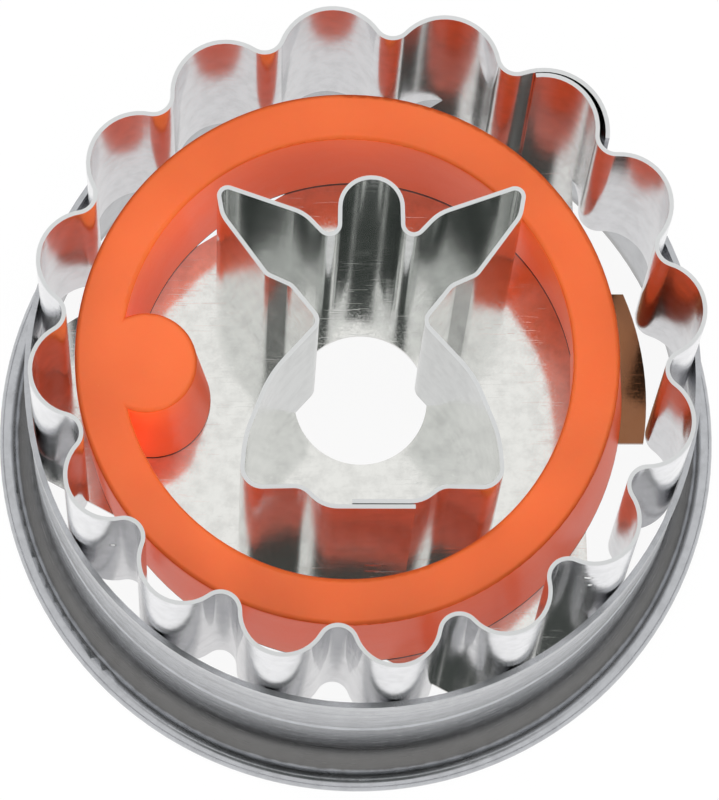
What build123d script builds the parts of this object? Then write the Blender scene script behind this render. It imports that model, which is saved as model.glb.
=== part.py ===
"""Linzer cookie cutter with an angel insert and a push-out ring, in millimetres.

The cutter stands on its rolled grip rim with the cutting edges up. +Z is up, the origin
is on the axis at the bottom of the rim, and the angel's head points along +Y.
"""

import os
from math import atan2, cos, degrees, hypot, pi, radians, sin, tan

from build123d import *

# driving dimensions
SHEET = 0.3  # tinplate of the two cutting strips
EDGE_Z = 35.0  # cutting edges, so this is also the overall height
DECK_Z = 14.0  # top face of the base plate, where both strips stand

# fluted strip
LOBES = 16
LOBE_R = 23.85  # outermost face of the lobes, which sit inside the collar
VALLEY_R = 21.0  # innermost face of the valleys
VALLEY_BEND = 1.35  # bend radius of a valley, on the middle of the sheet
FLUTE_TURN = -5.05  # angle of the first valley from +X, degrees
FLUTE_SWAY = (1.6, 160.0)  # the flutes drift by this angle, most towards this direction
FLUTE_LEAN = (0.3, 100.0)  # and the valleys by this radius
LAP_LOBE = 2  # the lobe in which the strip's ends overlap
LAP_GAP = 0.17  # gap between the two layers at the lobe's crest
LAP_SPREAD = 2.6  # the outer layer springs open by this angle towards its end
LAP_SEAM = 47.0  # where the inner layer ends, from the crest, about the lobe
LAP_END = 57.0  # where the outer layer ends, on the other side

# angel strip: half outline from the head to the hem as corners and bend radii, on the
# middle of the sheet, mirrored about the angel's own axis
ANGEL_X = 0.3
HEM_Y = -12.4  # middle of the hem, on the outer layer
HEM_STEP = 0.37  # the inner layer's middle lies this much further in
HEM_LAP = (-1.1, 3.3)  # the overlap of the strip's ends, along X
ANGEL_HALF = [
    (2.15, 11.2, 2.15),  # crown of the head
    (2.25, 5.98, 0.75),  # neck
    (4.7, 8.6, 3.0),  # shoulder of the wing
    (10.85, 10.75, 0.6),  # wing tip
    (10.45, 8.45, 2.0),  # trailing feather
    (7.35, 4.2, 1.0),  # its lower end
    (5.6, 3.4, 1.2),  # hollow over the waist
    (3.57, 0.85, 0.8),  # waist
    (7.1, -3.0, 8.0),  # skirt
    (8.85, -7.4, 8.0),  # lower skirt
    (9.15, -11.05, 1.4),  # skirt corner
    (4.85, -10.95, 1.5),  # step in the hem
    (3.4, HEM_Y, 2.4),  # bell of the hem
]
WELD_R = 0.45  # spot weld that holds a lap together

# grip collar, a drawn ring of thinner sheet with a rolled foot
COLLAR_SHEET = 0.28
COLLAR_R = 24.2  # outside of the straight wall
COLLAR_TOP = 22.2
HEM_BAND = (1.2, 0.12)  # height and relief of the folded band at the top
BEAD = (12.85, 0.5, 0.16)  # seat bead under the plate: height, half width, depth
COVE_TOP = 5.2  # where the wall starts to flare
ROLL_R = 0.8  # outside radius of the rolled foot
FOOT_FLAT = 0.05  # the roll is pressed flat by this much underneath
ROLL_CENTRE_R = 25.95
ROLL_CREASE = 122.0  # angle on the roll where the cove runs into it
ROLL_TURN = 318.0  # how far round the roll is curled

# base plate, a triangle with its corners cut round, and one side lug
PLATE_SHEET = 0.4
PLATE_INRADIUS = 16.1  # from the axis to each straight side
PLATE_TURN = 1.7  # direction of the first side from +X, degrees
PLATE_R = 23.85  # round cut of the corners
PLATE_HOLE_R = 4.85  # finger hole
LUG_Y = (-3.2, 8.0)  # the lug across the right-hand window
LUG_R = 20.9  # it stops at the valleys

# push-out ring, moulded in one with its boss and stem
RING_X, RING_Y = -1.2, 0.2  # it stands off the axis, as the boss sets it
RING_OUT, RING_IN = 19.4, 16.05
RING_FOOT = (-0.47, 0.12)  # its walls lean, so the foot is centred nearer the axis
RING_FOOT_OUT, RING_FOOT_IN = 19.56, 16.2
RING_HEIGHT = 12.8
RING_LIFT = 0.05  # running gap over the plate
BOSS_X, BOSS_Y, BOSS_R = -15.55, -0.25, 3.65
BOSS_FOOT = (-15.22, -0.1)
BOSS_FOOT_R = 4.28
SOFT_EDGE = 0.35  # radius on the moulded edges
STEM_R = 2.0
STEM_HOLE_R = 2.06
STEM_FOOT_Z = 3.6

# push button on the stem, inside the collar
BUTTON_R = 4.6
BUTTON_Z = (1.6, 4.8)
SPIGOT_R = 1.2
SPIGOT_FIT = 0.02


def arc_chain(corners):
    """Turn a closed list of (x, y, bend radius) into tangent arcs (x, y, r, from, to, side)."""
    arcs = []
    count = len(corners)
    for i, (x, y, r) in enumerate(corners):
        px, py, _ = corners[i - 1]
        nx, ny, _ = corners[(i + 1) % count]
        a_in = atan2(y - py, x - px)
        turn = (atan2(ny - y, nx - x) - a_in + pi) % (2 * pi) - pi
        side = 1 if turn > 0 else -1  # the list runs anticlockwise
        reach = r * tan(abs(turn) / 2)
        sx, sy = x - reach * cos(a_in), y - reach * sin(a_in)
        cx, cy = sx - side * r * sin(a_in), sy + side * r * cos(a_in)
        start = a_in - side * pi / 2
        arcs.append((cx, cy, r, start, start + turn, side))
    return arcs


def closed_face(arcs, off):
    """Face inside a chain of tangent arcs, moved outwards by off."""
    edges = []
    last = None
    first = None
    for cx, cy, r, a0, a1, side in arcs:
        rr = r + side * off
        p0, pm, p1 = ((cx + rr * cos(a), cy + rr * sin(a)) for a in (a0, (a0 + a1) / 2, a1))
        if last and hypot(p0[0] - last[0], p0[1] - last[1]) > 1e-4:
            edges.append(Edge.make_line(last, p0))
        edges.append(Edge.make_three_point_arc(p0, pm, p1))
        first = first or p0
        last = p1
    if hypot(first[0] - last[0], first[1] - last[1]) > 1e-4:
        edges.append(Edge.make_line(last, first))
    return Face(Wire(edges))


def lobe_circle(v, w, crest):
    """Centre and radius of the lobe that joins two valleys and just reaches the crest."""
    mx, my = (v[0] + w[0]) / 2, (v[1] + w[1]) / 2
    span = hypot(w[0] - v[0], w[1] - v[1])
    nx, ny = (w[1] - v[1]) / span, (v[0] - w[0]) / span
    low, high = -4.0, 4.0
    for _ in range(50):
        s = (low + high) / 2
        cx, cy = mx + s * nx, my + s * ny
        r = hypot(cx - v[0], cy - v[1]) - VALLEY_BEND
        if hypot(cx, cy) + r < crest:
            low = s
        else:
            high = s
    return cx, cy, r


def flute_arcs(lap_crest=LOBE_R, moved=None, turn=0.0):
    """Lobes joined by tight valleys, all arcs tangent; a layer of the lap may have its own
    crest, and a valley that is turned aside to draw it."""
    valleys = []
    for k in range(LOBES):
        a = radians(FLUTE_TURN) + 2 * pi * k / LOBES
        r = VALLEY_R + SHEET / 2 + VALLEY_BEND + FLUTE_LEAN[0] * cos(a - radians(FLUTE_LEAN[1]))
        a += radians(FLUTE_SWAY[0]) * cos(a - radians(FLUTE_SWAY[1]))
        if k == moved:
            a += radians(turn)
        valleys.append((r * cos(a), r * sin(a)))
    lobes = []
    for k in range(LOBES):
        crest = (lap_crest if k == LAP_LOBE else LOBE_R) - SHEET / 2
        lobes.append(lobe_circle(valleys[k], valleys[(k + 1) % LOBES], crest))
    arcs = []
    for k in range(LOBES):
        (vx, vy), (wx, wy) = valleys[k], valleys[(k + 1) % LOBES]
        cx, cy, r = lobes[k]
        dx, dy, _ = lobes[(k + 1) % LOBES]
        a0 = atan2(vy - cy, vx - cx)
        arcs.append((cx, cy, r, a0, a0 + (atan2(wy - cy, wx - cx) - a0) % (2 * pi), 1))
        a0 = atan2(cy - wy, cx - wx)
        arcs.append((wx, wy, VALLEY_BEND, a0, a0 - (a0 - atan2(dy - wy, dx - wx)) % (2 * pi), -1))
    band = closed_face(arcs, SHEET / 2) - closed_face(arcs, -SHEET / 2)
    return band, lobes[LAP_LOBE], [atan2(y, x) for x, y in valleys[LAP_LOBE : LAP_LOBE + 2]]


def fluted_cutter():
    """One strip whose ends overlap in a lobe, the outer layer sprung open at its end."""
    step = SHEET + LAP_GAP
    plain, _, (near, far) = flute_arcs()
    outer, lobe, _ = flute_arcs(LOBE_R, LAP_LOBE, -LAP_SPREAD)
    inner, in_lobe, _ = flute_arcs(LOBE_R - step, LAP_LOBE + 1, -degrees(step / VALLEY_R))
    crest = (near + far) / 2

    def ray(a, r, x=0.0, y=0.0):
        return (x + r * cos(a), y + r * sin(a))

    def area(*points):
        return make_face(Polyline(*points, close=True))

    # the lap lobe is cut out of the plain outline, and its two layers put in
    face = plain - area(ray(near, 17), ray(near, 40), ray(crest, 60), ray(far, 40), ray(far, 17))
    cx, cy, r = in_lobe
    seam = crest + radians(LAP_SEAM)
    face += inner & area(
        (cx, cy), ray(near, 17), ray(near, 26), ray(crest, 30), ray(seam, 2 * r, cx, cy)
    )
    cx, cy, r = lobe
    end = crest - radians(LAP_END)
    shoulder = ray(end + 0.5, 2 * r, cx, cy)
    face += outer & area(
        (cx, cy), ray(end, r + 0.8, cx, cy), shoulder, ray(crest, 30), ray(far, 26), ray(far, 17)
    )
    body = extrude(face, EDGE_Z - DECK_Z, dir=(0, 0, 1))
    # spot weld through both layers of the lap
    weld = Rot(0, 0, degrees(crest)) * Pos(LOBE_R - step - 0.15, 0, 4) * Rot(0, 90, 0)
    body += weld * Cylinder(WELD_R, step, align=(Align.CENTER, Align.CENTER, Align.MIN))
    return Pos(0, 0, DECK_Z) * body


def angel_half(side, hem_y, wide):
    """Outline with one true half; the other half is a plain block that is cut away."""
    true = [(ANGEL_X + side * x, max(y, hem_y), r) for x, y, r in ANGEL_HALF]
    block = [(ANGEL_X - side * 9.0, ANGEL_HALF[0][1], 1.0), (ANGEL_X - side * 9.0, hem_y, 1.4)]
    if side < 0:
        ring = true + block[::-1]
    else:
        ring = block + true[::-1]
    arcs = arc_chain(ring)
    edge = Align.MIN if side > 0 else Align.MAX
    keep = Pos(ANGEL_X, 0) * Rectangle(30, 40, align=(edge, Align.CENTER))
    keep += Pos(ANGEL_X, hem_y) * Rectangle(abs(wide - ANGEL_X) * 2, 1.2)
    return (closed_face(arcs, SHEET / 2) - closed_face(arcs, -SHEET / 2)) & keep


def angel_cutter():
    """One strip whose ends overlap in the hem, the left one outside the right one."""
    tall = EDGE_Z - DECK_Z
    body = extrude(angel_half(-1, HEM_Y, HEM_LAP[1]), tall, dir=(0, 0, 1))
    body += extrude(angel_half(1, HEM_Y + HEM_STEP, HEM_LAP[0]), tall, dir=(0, 0, 1))
    weld = Pos(1.4, HEM_Y, 3.2) * Rot(-90, 0, 0)
    body += weld * Cylinder(WELD_R, HEM_STEP, align=(Align.CENTER, Align.CENTER, Align.MIN))
    return Pos(0, 0, DECK_Z) * body


def collar_profile():
    """Half section of the collar: banded wall, seat bead, cove and rolled foot."""
    t, out = COLLAR_SHEET, COLLAR_R
    band_h, band_d = HEM_BAND
    bead_z, bead_w, bead_d = BEAD
    crease = radians(ROLL_CREASE)
    ex = ROLL_CENTRE_R + ROLL_R * cos(crease)
    ez = ROLL_R - FOOT_FLAT + ROLL_R * sin(crease)
    dx, dz = ex - out, COVE_TOP - ez
    cove = (dx**2 + dz**2) / (2 * dx)  # arc that leaves the wall tangentially
    mid = atan2(dz, cove - dx) / 2
    turn = 2 * mid

    def cove_point(r, a):
        return (out + cove - r * cos(a), COVE_TOP - r * sin(a))

    wall = [
        Line((out, COVE_TOP), (out, bead_z - bead_w)),
        ThreePointArc(
            (out, bead_z - bead_w), (out - bead_d, bead_z), (out, bead_z + bead_w)
        ),
        Line((out, bead_z + bead_w), (out, COLLAR_TOP - band_h)),
        Line((out, COLLAR_TOP - band_h), (out + band_d, COLLAR_TOP - band_h + 0.15)),
        Line((out + band_d, COLLAR_TOP - band_h + 0.15), (out + band_d, COLLAR_TOP)),
        Line((out + band_d, COLLAR_TOP), (out - t, COLLAR_TOP)),
        Line((out - t, COLLAR_TOP), (out - t, bead_z + bead_w)),
        ThreePointArc(
            (out - t, bead_z + bead_w), (out - t - bead_d, bead_z), (out - t, bead_z - bead_w)
        ),
        Line((out - t, bead_z - bead_w), (out - t, COVE_TOP)),
        ThreePointArc(
            (out - t, COVE_TOP), cove_point(cove + t, mid), cove_point(cove + t, turn)
        ),
        Line(cove_point(cove + t, turn), (ex, ez)),
        ThreePointArc((ex, ez), cove_point(cove, mid), (out, COVE_TOP)),
    ]
    return make_face(Curve() + wall)


def grip_collar():
    wall = collar_profile()
    roll = Circle(ROLL_R) - Circle(ROLL_R - COLLAR_SHEET)
    # the curl stops short of the cove, so the roll stays open on its inner side
    gap = Rot(0, 0, ROLL_CREASE + (360 - ROLL_TURN) / 2 + 10) * Pos(ROLL_R, 0) * Rectangle(
        ROLL_R * 1.2, ROLL_R * 0.5
    )
    roll = Pos(ROLL_CENTRE_R, ROLL_R - FOOT_FLAT) * (roll - gap)
    roll -= Pos(ROLL_CENTRE_R, 0) * Rectangle(4, 4, align=(Align.CENTER, Align.MAX))
    section = Plane.XZ * (wall + roll)
    return revolve(section, Axis.Z)


def base_plate():
    corners = [
        (2 * PLATE_INRADIUS * cos(radians(a)), 2 * PLATE_INRADIUS * sin(radians(a)))
        for a in (PLATE_TURN + 60, PLATE_TURN + 180, PLATE_TURN + 300)
    ]
    shape = make_face(Polyline(*corners, close=True)) & Circle(PLATE_R)
    y0, y1 = LUG_Y
    lug = Pos(PLATE_INRADIUS - 1, y0) * Rectangle(
        LUG_R - PLATE_INRADIUS + 3, y1 - y0, align=(Align.MIN, Align.MIN)
    )
    shape += lug & Circle(LUG_R)
    shape -= Circle(PLATE_HOLE_R)
    shape -= Pos(BOSS_X, BOSS_Y) * Circle(STEM_HOLE_R)
    return Pos(0, 0, DECK_Z - PLATE_SHEET) * extrude(shape, PLATE_SHEET, dir=(0, 0, 1))


def leaning_post(foot, foot_r, head, head_r, height):
    """Round post whose head is smaller than its foot, or stands off to one side of it."""
    ends = [Pos(*foot, 0) * Circle(foot_r), Pos(*head, height) * Circle(head_r)]
    return loft(ends, ruled=True)


def ejector_ring():
    foot = DECK_Z + RING_LIFT
    stand = (Align.CENTER, Align.CENTER, Align.MIN)
    ring, boss = (RING_X, RING_Y), (BOSS_X, BOSS_Y)
    # the face with its soft edges, then the drafted walls under it
    drop = RING_HEIGHT - 2 * SOFT_EDGE
    face = Pos(*ring) * (Circle(RING_OUT) - Circle(RING_IN)) + Pos(*boss) * Circle(BOSS_R)
    body = extrude(face, 2 * SOFT_EDGE, dir=(0, 0, 1))
    rims = body.edges().filter_by_position(
        Axis.Z, 2 * SOFT_EDGE - 0.01, 2 * SOFT_EDGE + 0.01
    )
    body = Pos(0, 0, drop) * fillet(rims, SOFT_EDGE)
    skirt = leaning_post(RING_FOOT, RING_FOOT_OUT, ring, RING_OUT - 0.01, drop)
    skirt -= leaning_post(RING_FOOT, RING_FOOT_IN, ring, RING_IN + 0.01, drop)
    body += skirt
    body += leaning_post(BOSS_FOOT, BOSS_FOOT_R, boss, BOSS_R - 0.01, drop)
    body = Pos(0, 0, foot) * body
    stem = Cylinder(STEM_R, foot - STEM_FOOT_Z + 1, align=stand)
    spigot = Cylinder(SPIGOT_R, 1.6, align=(Align.CENTER, Align.CENTER, Align.MAX))
    body += Pos(*boss, STEM_FOOT_Z) * (stem + Pos(0, 0, 0.1) * spigot)
    return body


def push_button():
    low, high = BUTTON_Z
    disc = Pos(0, 0, low) * Cylinder(
        BUTTON_R, high - low, align=(Align.CENTER, Align.CENTER, Align.MIN)
    )
    disc = fillet(disc.edges().filter_by(GeomType.CIRCLE), 0.7)
    # counterbore takes the stem's end, and a narrower socket its spigot
    disc -= Pos(0, 0, STEM_FOOT_Z) * Cylinder(
        STEM_R + SPIGOT_FIT, 5, align=(Align.CENTER, Align.CENTER, Align.MIN)
    )
    disc -= Pos(0, 0, 2.1) * Cylinder(
        SPIGOT_R + SPIGOT_FIT, 3, align=(Align.CENTER, Align.CENTER, Align.MIN)
    )
    # shallow dish for the thumb, underneath
    dish_r = 9.0
    disc -= Pos(0, 0, low - dish_r + 0.45) * Sphere(dish_r)
    return Pos(BOSS_X, BOSS_Y) * disc


PIECES = {
    "grip_collar": grip_collar,
    "base_plate": base_plate,
    "fluted_cutter": fluted_cutter,
    "angel_cutter": angel_cutter,
    "ejector_ring": ejector_ring,
    "push_button": push_button,
}

os.makedirs("parts", exist_ok=True)
for name, make in PIECES.items():
    shape = make()
    solids = shape.solids()
    if len(solids) == 1:
        shape = solids[0]
    export_step(shape, f"parts/{name}.step")
    box = shape.bounding_box()
    print(name, len(solids), "solid", round(shape.volume, 2), "mm3", box.min, box.max)
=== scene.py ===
import bpy
import bmesh
from math import cos, pi, sin
from mathutils import Matrix, Vector

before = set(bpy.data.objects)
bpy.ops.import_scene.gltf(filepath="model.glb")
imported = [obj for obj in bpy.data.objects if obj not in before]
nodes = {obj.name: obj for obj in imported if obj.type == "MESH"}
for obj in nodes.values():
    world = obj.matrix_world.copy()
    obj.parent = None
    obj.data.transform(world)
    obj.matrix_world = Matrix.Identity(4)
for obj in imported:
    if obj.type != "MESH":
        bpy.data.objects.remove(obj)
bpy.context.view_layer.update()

# heights and places on the object, in metres
MM = 0.001


def top_of(name):
    node = nodes[name]
    return max((node.matrix_world @ v.co).z for v in node.data.vertices)


EDGE_Z = top_of("fluted_cutter")
DECK_Z = top_of("base_plate")
RING_GAP = 0.05 * MM
FOOT_Z = DECK_Z + RING_GAP
# the collar's cove, painted dark as a painted reflection of the shaded floor, fading out towards the
# rolled foot and the straight wall
COVE_REFLECTION_Z = (1.55 * MM, 1.8 * MM, 4.2 * MM, 6.6 * MM)
# its drawing lines grow stronger over this height
DRAWN_Z = (8.0 * MM, 20.0 * MM)
# painted shade line at the step under the collar's folded band
BAND_SHADE_Z = (20.65 * MM, 20.80 * MM, 21.00 * MM, 21.15 * MM)
# the painted brown reflection on the plate's lug starts here, going right
LUG_REFLECTION_X = (16.6 * MM, 18.2 * MM)
# spot weld marks: the centre and the half sizes, in millimetres
FLUTE_WELDS = (
    ((15.47, -16.56, 30.7), (0.26, 0.4, 0.26)),
    ((15.76, -16.56, 28.2), (0.16, 0.4, 0.24)),
    ((-17.80, -13.47, 26.7), (0.16, 0.4, 0.30)),
)
HEM_WELDS = (((0.85, -12.55, 15.0), (0.65, 0.4, 0.13)),)


# node graphs

class Graph:
    """Short way to wire the nodes of a material or a world."""

    def __init__(self, owner, out="ShaderNodeOutputMaterial"):
        self.owner = owner
        owner.use_nodes = True
        self.tree = owner.node_tree
        self.tree.nodes.clear()
        self.out = self.add(out)

    def add(self, kind, **settings):
        n = self.tree.nodes.new(kind)
        for key, value in settings.items():
            setattr(n, key, value)
        return n

    def link(self, source, socket):
        self.tree.links.new(source, socket)

    def put(self, socket, value):
        """Link the socket to another node's output, or set it to a plain value."""
        if hasattr(value, "is_output"):
            self.link(value, socket)
        else:
            socket.default_value = value

    def fill(self, n, values):
        for socket, value in zip(n.inputs, values):
            self.put(socket, value)

    def math(self, operation, a, b):
        n = self.add("ShaderNodeMath", operation=operation)
        self.fill(n, (a, b))
        return n.outputs[0]

    def times(self, a, b):
        return self.math("MULTIPLY", a, b)

    def plus(self, a, b):
        return self.math("ADD", a, b)

    def vector(self, operation, *values):
        n = self.add("ShaderNodeVectorMath", operation=operation)
        self.fill(n, values)
        return n.outputs["Value" if operation == "LENGTH" else "Vector"]

    def xyz(self, vector):
        n = self.add("ShaderNodeSeparateXYZ")
        self.link(vector, n.inputs[0])
        return n.outputs

    def ramp(self, value, low, high):
        """Smooth step from 0 at low to 1 at high, which may be the lower number."""
        n = self.add("ShaderNodeMapRange", interpolation_type="SMOOTHSTEP", clamp=True)
        self.fill(n, (value, low, high, 0.0, 1.0))
        return n.outputs[0]

    def between(self, value, start, full, fade, end):
        """1 from full to fade, and 0 below start and above end."""
        return self.times(self.ramp(value, start, full), self.ramp(value, end, fade))

    def mix(self, share, a, b):
        n = self.add("ShaderNodeMix", data_type="RGBA")
        self.put(n.inputs[0], share)
        self.put(n.inputs[6], a)
        self.put(n.inputs[7], b)
        return n.outputs[2]

    def stain(self, colour, mask, amount, tone):
        """The colour with that amount of a tone over it where the mask is 1."""
        return self.mix(self.times(mask, amount), colour, (*tone, 1))

    def here(self):
        return self.add("ShaderNodeTexCoord").outputs["Object"]

    def noise(self, scale, detail, rough=0.5, turn=0.0, distort=0.0):
        """Noise with so many features to the millimetre along each axis."""
        place = self.add("ShaderNodeMapping")
        self.link(self.here(), place.inputs[0])
        place.inputs["Scale"].default_value = [s / MM for s in scale]
        place.inputs["Rotation"].default_value = (0, 0, turn)
        n = self.add("ShaderNodeTexNoise")
        self.link(place.outputs[0], n.inputs["Vector"])
        n.inputs["Scale"].default_value = 1.0
        n.inputs["Detail"].default_value = detail
        n.inputs["Roughness"].default_value = rough
        n.inputs["Distortion"].default_value = distort
        return n.outputs["Fac"]

    def bump(self, height, normal=None):
        """Normal of a surface raised by a height in metres."""
        n = self.add("ShaderNodeBump")
        n.inputs["Strength"].default_value = 1.0
        n.inputs["Distance"].default_value = 1.0
        self.link(height, n.inputs["Height"])
        if normal is not None:
            self.link(normal, n.inputs["Normal"])
        return n.outputs[0]

    def upward(self):
        """How far the real face turns up, from -1 to 1."""
        return self.xyz(self.add("ShaderNodeNewGeometry").outputs["True Normal"])[2]

    def principled(self, values):
        n = self.add("ShaderNodeBsdfPrincipled")
        for key, value in values.items():
            self.put(n.inputs[key], value)
        self.link(n.outputs[0], self.out.inputs[0])

    def mix_shaders(self, share, a, b):
        n = self.add("ShaderNodeMixShader")
        self.fill(n, (share, a.outputs[0], b.outputs[0]))
        self.link(n.outputs[0], self.out.inputs[0])


# materials

class Tinplate(Graph):
    """Bright tinplate: rolling lines, soft dents, faint stains and small specks."""

    def __init__(self, name, tone, rough, grain, line_depth, wave_depth):
        super().__init__(bpy.data.materials.new(name))
        self.wave_depth = wave_depth
        fine = self.noise(grain, 4.0, 0.65)
        self.cloud = self.noise((0.9, 0.9, 0.5), 4.0, 0.6)
        speck = self.noise((7.0, 7.0, 7.0), 2.0, 0.7)
        self.x, _, self.z = self.xyz(self.here())
        dull = [0.86 * c for c in tone]
        self.colour = self.mix(self.ramp(self.cloud, 0.35, 0.75), (*tone, 1), (*dull, 1))
        self.stained(self.ramp(speck, 0.66, 0.78), 0.35, [0.6 * c for c in tone])
        self.roughness = self.plus(self.times(self.ramp(fine, 0.3, 0.75), 0.10), rough)
        self.rougher(self.cloud, 0.05)
        self.height = self.times(fine, line_depth)

    def stained(self, mask, amount, tone):
        self.colour = self.stain(self.colour, mask, amount, tone)

    def rougher(self, mask, amount):
        self.roughness = self.plus(self.roughness, self.times(mask, amount))

    def raised(self, mask, amount):
        self.height = self.plus(self.height, self.times(mask, amount))

    def scratched(self, depth):
        """Thin straight scratches in three directions."""
        for turn in (0.5, -1.1, 2.0):
            thin = self.noise((0.25, 6.0, 0.25), 1.0, 0.4, turn, 0.6)
            self.raised(self.ramp(thin, 0.71, 0.74), -depth)

    def welded(self, welds):
        """Pressed spots, dull and painted pale as a painted highlight, each in a dark rim."""
        for centre, half in welds:
            off = self.vector("SUBTRACT", self.here(), [c * MM for c in centre])
            far = self.vector("LENGTH", self.vector("DIVIDE", off, [h * MM for h in half]))
            spot = self.ramp(far, 1.15, 0.85)
            rim = self.math("SUBTRACT", self.ramp(far, 1.9, 1.3), spot)
            self.stained(rim, 0.55, (0.12, 0.12, 0.12))
            # painted highlight: the spot is painted pale for the bright dash on the dent
            self.colour = self.mix(spot, self.colour, (0.95, 0.95, 0.95, 1))
            self.rougher(spot, 0.45)
            self.raised(spot, -0.015 * MM)

    def sheared(self):
        """The cut rim is paler and less polished than the rolled faces."""
        rim = self.times(self.ramp(self.z, EDGE_Z - 0.05 * MM, EDGE_Z - 0.02 * MM),
                         self.ramp(self.upward(), 0.5, 0.9))
        self.colour = self.mix(rim, self.colour, (0.72, 0.73, 0.73, 1))
        self.rougher(rim, 0.30)

    def finish(self):
        broad = self.noise((0.22, 0.22, 0.22), 2.0)
        normal = self.bump(self.times(broad, self.wave_depth), self.bump(self.height))
        self.principled({"Base Color": self.colour, "Metallic": 1.0,
                         "Roughness": self.roughness, "Normal": normal})
        return self.owner


def strip_tinplate(name, tone, rough, welds):
    """Polished cutting strip."""
    t = Tinplate(name, tone, rough, (0.35, 0.35, 9.0), 0.0012 * MM, 0.012 * MM)
    t.welded(welds)
    t.sheared()
    return t.finish()


def collar_tinplate():
    """Drawn collar: lines round its wall and a painted dark reflection in its cove."""
    t = Tinplate("tinplate_collar", (0.50, 0.51, 0.53), 0.16, (0.3, 0.3, 12.0), 0.0025 * MM, 0.015 * MM)
    ragged = t.plus(t.z, t.times(t.math("SUBTRACT", t.cloud, 0.5), 0.2 * MM))
    # painted reflection: the cove is painted dark where it would mirror the shaded floor
    t.stained(t.between(ragged, *COVE_REFLECTION_Z), 0.84, (0.095, 0.09, 0.083))
    rings = t.noise((0.01, 0.01, 3.5), 3.0, 0.7)
    t.stained(t.times(t.ramp(rings, 0.54, 0.62), t.ramp(t.z, *DRAWN_Z)), 0.45, (0.10, 0.10, 0.11))
    # painted shade under the step of the folded band
    t.stained(t.between(t.z, *BAND_SHADE_Z), 0.8, (0.05, 0.05, 0.05))
    return t.finish()


def plate_tinplate():
    """Flat plate with light scratches and a painted brown reflection on its lug."""
    t = Tinplate("tinplate_plate", (0.80, 0.80, 0.77), 0.03, (6.0, 6.0, 6.0), 0.0003 * MM, 0.015 * MM)
    t.scratched(0.0012 * MM)
    # painted reflection: the lug is painted brown where it mirrors the walls beside it
    t.stained(t.ramp(t.plus(t.x, t.times(t.cloud, 1.0 * MM)), *LUG_REFLECTION_X), 0.95, (0.23, 0.078, 0.02))
    return t.finish()


def orange_plastic():
    """Moulded orange plastic, semi-gloss, with fine pores and a little flow tone."""
    g = Graph(bpy.data.materials.new("orange_plastic"))
    flow = g.noise((0.12, 0.12, 0.2), 3.0)
    pore = g.noise((5.0, 5.0, 5.0), 3.0, 0.6)
    dent = g.noise((0.3, 0.3, 0.3), 2.0)
    colour = g.mix(g.ramp(flow, 0.3, 0.7), (0.87, 0.166, 0.042, 1), (0.84, 0.150, 0.035, 1))
    colour = g.stain(colour, g.ramp(pore, 0.55, 0.8), 0.12, (0.92, 0.22, 0.07))
    # the upright walls are duller than the face, with painted light: a brighter orange and a painted
    # glow stand in for light through the translucent plastic
    wall = g.ramp(g.upward(), 0.5, 0.1)
    rough = g.plus(g.plus(g.times(pore, 0.10), 0.20), g.times(wall, 0.12))
    # painted light on the walls: a brighter orange colour, then a painted glow
    colour = g.stain(colour, wall, 0.5, (1.0, 0.16, 0.03))
    glow = g.times(wall, g.plus(g.times(flow, 0.08), 0.25))
    # they end in a painted shade line at the foot, where the ring meets the plate
    z = g.xyz(g.here())[2]
    foot_shade = g.between(z, FOOT_Z - 0.20 * MM, FOOT_Z, FOOT_Z + 0.14 * MM, FOOT_Z + 0.26 * MM)
    colour = g.stain(colour, foot_shade, 0.85, (0.10, 0.02, 0.01))
    glow = g.times(glow, g.math("SUBTRACT", 1.0, foot_shade))
    normal = g.bump(g.times(dent, 0.06 * MM), g.bump(g.times(pore, 0.006 * MM)))
    g.principled({"Base Color": colour, "Roughness": rough, "Normal": normal,
                  "Emission Strength": glow, "Emission Color": (1.0, 0.14, 0.045, 1),
                  "IOR": 1.45, "Specular IOR Level": 0.35, "Subsurface Weight": 0.30,
                  "Subsurface Radius": (1.0, 0.25, 0.08), "Subsurface Scale": 2.0 * MM})
    return g.owner


orange = orange_plastic()
finish = {
    "grip_collar": collar_tinplate(),
    "base_plate": plate_tinplate(),
    "fluted_cutter": strip_tinplate("tinplate_strip", (0.73, 0.73, 0.75), 0.07, FLUTE_WELDS),
    "angel_cutter": strip_tinplate("tinplate_angel", (0.60, 0.62, 0.61), 0.06, HEM_WELDS),
    "ejector_ring": orange,
    "push_button": orange,
}
for name, mat in finish.items():
    for slot in nodes[name].material_slots:
        slot.material = mat


# floor and cards

LENS_BACK = Vector((-0.0239, -0.2237, 0.9744))
FLOOR_RADIUS = 1.2
FLOOR_Z = -0.02 * MM


def stage_mesh(name, build, mat):
    """Mesh that build(bm) draws, in one material."""
    bm = bmesh.new()
    build(bm)
    mesh = bpy.data.meshes.new(name)
    bm.to_mesh(mesh)
    bm.free()
    mesh.materials.append(mat)
    ob = bpy.data.objects.new(name, mesh)
    bpy.context.scene.collection.objects.link(ob)
    return ob


def round_face(radius, segments):
    def build(bm):
        bmesh.ops.create_circle(bm, cap_ends=True, segments=segments, radius=radius)
    return build


def upright_band(radius, low, high, steps=48):
    def build(bm):
        rows = []
        for i in range(steps + 1):
            a = 2 * pi * i / steps
            rows.append([bm.verts.new((radius * cos(a), radius * sin(a), z)) for z in (low, high)])
        for p, q in zip(rows, rows[1:]):
            bm.faces.new((p[0], q[0], q[1], p[1]))
    return build


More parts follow.
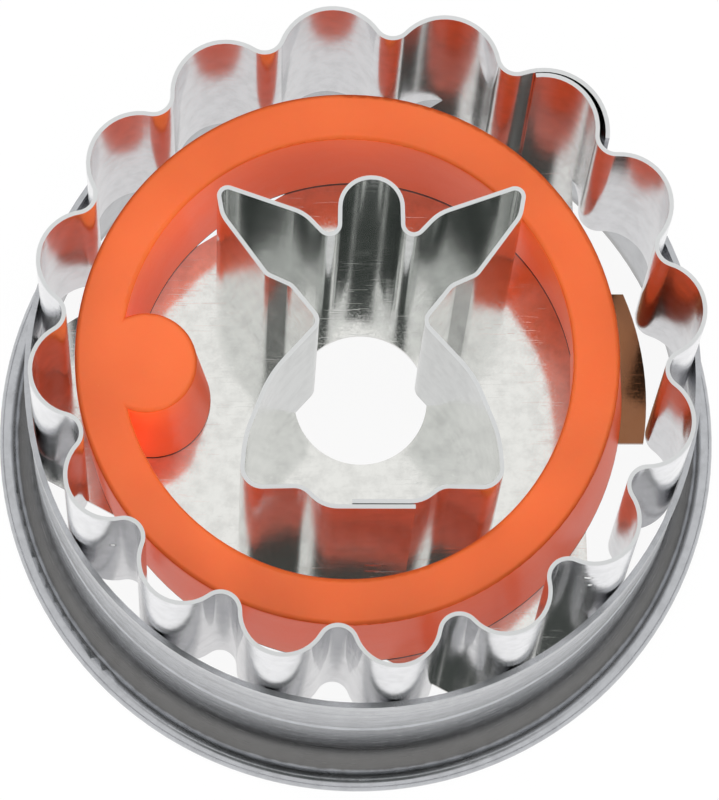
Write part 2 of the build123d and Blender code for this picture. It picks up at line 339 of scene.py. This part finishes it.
def floor_material(tone, glow, metal_glow):
    """Pale surface that the camera and the metal see as white, still taking a soft shadow."""
    g = Graph(bpy.data.materials.new("floor_white"))
    diffuse = g.add("ShaderNodeBsdfDiffuse")
    grain = g.noise((0.01, 0.01, 0.01), 2.0)
    g.link(g.stain((tone, tone, tone, 1), grain, 0.03, (0.8, 0.8, 0.8)), diffuse.inputs[0])
    bright = g.add("ShaderNodeEmission")
    bright.inputs["Strength"].default_value = 1.0
    ray = g.add("ShaderNodeLightPath").outputs
    direct = g.math("MAXIMUM", ray["Is Camera Ray"], ray["Is Transmission Ray"])
    seen = g.math("MAXIMUM", g.times(direct, glow), g.times(ray["Is Glossy Ray"], metal_glow))
    g.mix_shaders(seen, diffuse, bright)
    return g.owner


floor = stage_mesh("floor", round_face(FLOOR_RADIUS, 96), floor_material(0.8, 0.93, 0.75))
floor.location.z = FLOOR_Z


def dark_card(name, build, tone, fade=None):
    """Dark studio card that only the polished metal sees, so that it has something to reflect.

    fade is (inner, outer), in metres from the card's own centre, over which it turns clear.
    """
    g = Graph(bpy.data.materials.new(name))
    dark = g.add("ShaderNodeEmission")
    grain = g.noise((0.02, 0.02, 0.02), 2.0)
    g.link(g.mix(grain, (*tone, 1), (*[0.8 * c for c in tone], 1)), dark.inputs[0])
    # clear to light on its way to a dull surface
    away = g.math("GREATER_THAN", g.add("ShaderNodeLightPath").outputs["Diffuse Depth"], 0.5)
    if fade:
        away = g.math("MAXIMUM", away, g.ramp(g.vector("LENGTH", g.here()), *fade))
    g.mix_shaders(away, dark, g.add("ShaderNodeBsdfTransparent"))
    ob = stage_mesh(name, build, g.owner)
    ob.visible_camera = False
    ob.visible_diffuse = False
    ob.visible_shadow = False
    return ob


# the camera and its stand, as a dark round patch just below the lens
patch = dark_card("lens_patch", round_face(0.34, 64), (0.085, 0.095, 0.09), (0.17, 0.25))
patch_way = (LENS_BACK + Vector((0.03, -0.12, 0))).normalized()
patch.location = patch_way * 0.70
patch.rotation_euler = patch_way.to_track_quat("Z", "Y").to_euler()
# the dim room at table height
dark_card("room_band", upright_band(0.9, 0.02, 0.18), (0.36, 0.36, 0.38))


# lamps and world

LAMP_AIM = Vector((0, 0, 0.02))
LOW_LAMPS = 6


def lamp(name, where, size, power):
    """Soft round lamp, aimed at the object, that its reflections don't show."""
    light = bpy.data.lights.new(name, "AREA")
    light.shape = "DISK"
    light.size = size
    light.energy = power
    ob = bpy.data.objects.new(name, light)
    ob.location = where
    ob.rotation_euler = (Vector(where) - LAMP_AIM).to_track_quat("Z", "Y").to_euler()
    ob.visible_glossy = False
    bpy.context.scene.collection.objects.link(ob)


# low lamps all round reach the upright walls between the strips
for i in range(LOW_LAMPS):
    around = 2 * pi * (i + 0.5) / LOW_LAMPS
    lamp("soft_%d" % i, (0.42 * cos(around), 0.42 * sin(around), 0.30), 0.16, 0.45)
lamp("soft_top", (-0.03, 0.10, 0.60), 0.12, 0.25)
for side in (-1, 1):
    lamp("soft_front_%d" % side, (0.20 * side, -0.26, 0.45), 0.22, 0.5)


def white_world(lit, seen):
    """White all round, of strength lit as light and seen where it is looked at or mirrored."""
    g = Graph(bpy.data.worlds.new("world"), "ShaderNodeOutputWorld")
    sky = []
    for strength in (lit, seen):
        n = g.add("ShaderNodeBackground")
        n.inputs["Color"].default_value = (1, 1, 1, 1)
        n.inputs["Strength"].default_value = strength
        sky.append(n)
    ray = g.add("ShaderNodeLightPath").outputs
    direct = g.math("MAXIMUM", ray["Is Camera Ray"], ray["Is Glossy Ray"])
    g.mix_shaders(g.math("MAXIMUM", direct, ray["Is Transmission Ray"]), *sky)
    return g.owner


bpy.context.scene.world = white_world(0.75, 1.0)


# camera, solved from the photograph's circles and upright walls

PHOTO_HEIGHT_PX = 800
FOCAL_LENGTH_PX = 6250.18
SENSOR_HEIGHT = 24.0
LENS_RIGHT = Vector((0.9997, -0.0027, 0.0239))
CAMERA_PLACE = Vector((-10.98, -102.15, 458.9)) * MM

cam_data = bpy.data.cameras.new("camera")
cam_data.sensor_fit = "VERTICAL"
cam_data.sensor_height = SENSOR_HEIGHT
cam_data.lens = SENSOR_HEIGHT * FOCAL_LENGTH_PX / PHOTO_HEIGHT_PX
cam_data.clip_start = 0.01
cam = bpy.data.objects.new("camera", cam_data)
back = LENS_BACK.normalized()
up = back.cross(LENS_RIGHT).normalized()
right = up.cross(back)
cam.matrix_world = Matrix.Translation(CAMERA_PLACE) @ Matrix((right, up, back)).transposed().to_4x4()
bpy.context.scene.collection.objects.link(cam)
bpy.context.scene.camera = cam
bpy.context.scene.view_settings.view_transform = "Standard"
# the metal faces mirror each other many times over
bpy.context.scene.cycles.glossy_bounces = 8
